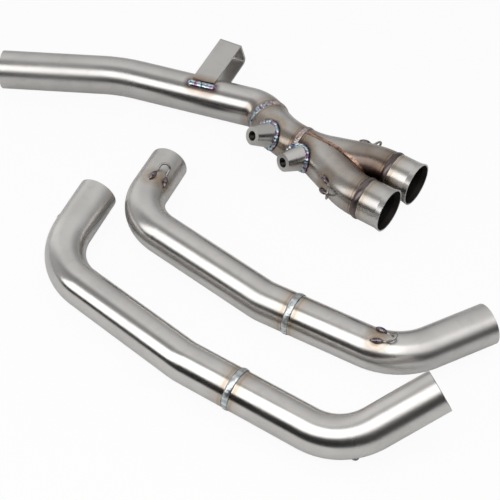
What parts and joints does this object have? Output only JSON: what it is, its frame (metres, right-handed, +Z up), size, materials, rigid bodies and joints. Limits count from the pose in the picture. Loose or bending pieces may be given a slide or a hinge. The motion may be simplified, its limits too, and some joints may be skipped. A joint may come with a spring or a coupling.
{
  "type": "motorcycle exhaust header",
  "caption": "Stainless exhaust header of a motorcycle in slip-fit pieces laid apart: bent header pipes and a merge collector with sensor bosses, spring hooks, hanger bracket and link pipe.",
  "frame": {"origin": "on the ground under the middle of the laid-out set's box", "axes": "+Z up; +Y from the header pipes in front towards the collector behind; +X to the right, from the link pipe's slip end towards the sleeves"},
  "size_m": [0.5216, 0.5447, 0.0809],
  "materials": {
    "tube_steel": "satin brushed stainless tube with light heat tint at the welds",
    "sleeve_steel": "stainless sleeve darkened by weld heat",
    "boss_steel": "turned stainless, bright rim",
    "bracket_steel": "folded stainless strap, satin",
    "weld": "rippled weld bead, blue to straw heat tint",
    "hook_weld": "small dark weld with purple and blue tint",
    "hook_wire": "plain stainless wire"
  },
  "bodies": {
    "root": {"link_pipe": "tube_steel", "link_ring_weld": "weld", "elbow_pipe": "tube_steel", "merge_ring_weld": "weld", "branch_front": "tube_steel", "branch_rear": "tube_steel", "seam_weld": "weld", "sleeve_weld_front": "weld", "sleeve_weld_rear": "weld", "sleeve_front": "sleeve_steel", "sleeve_rear": "sleeve_steel", "link_boss": "boss_steel", "link_boss_weld": "weld", "merge_boss": "boss_steel", "merge_boss_weld": "weld", "hanger_bracket": "bracket_steel", "bracket_weld": "weld", "front_branch_hook": "hook_wire", "front_branch_hook_welds": "hook_weld", "rear_branch_hook": "hook_wire", "rear_branch_hook_welds": "hook_weld", "short_head_tube": "tube_steel", "short_ring_weld": "weld", "short_outlet_tube": "tube_steel", "short_head_hook": "hook_wire", "short_head_hook_welds": "hook_weld", "short_outlet_hook": "hook_wire", "short_outlet_hook_welds": "hook_weld", "long_head_tube": "tube_steel", "long_ring_weld": "weld", "long_outlet_tube": "tube_steel", "long_head_hook": "hook_wire", "long_head_hook_welds": "hook_weld", "long_outlet_hook": "hook_wire", "long_outlet_hook_welds": "hook_weld"}
  },
  "joints": []
}
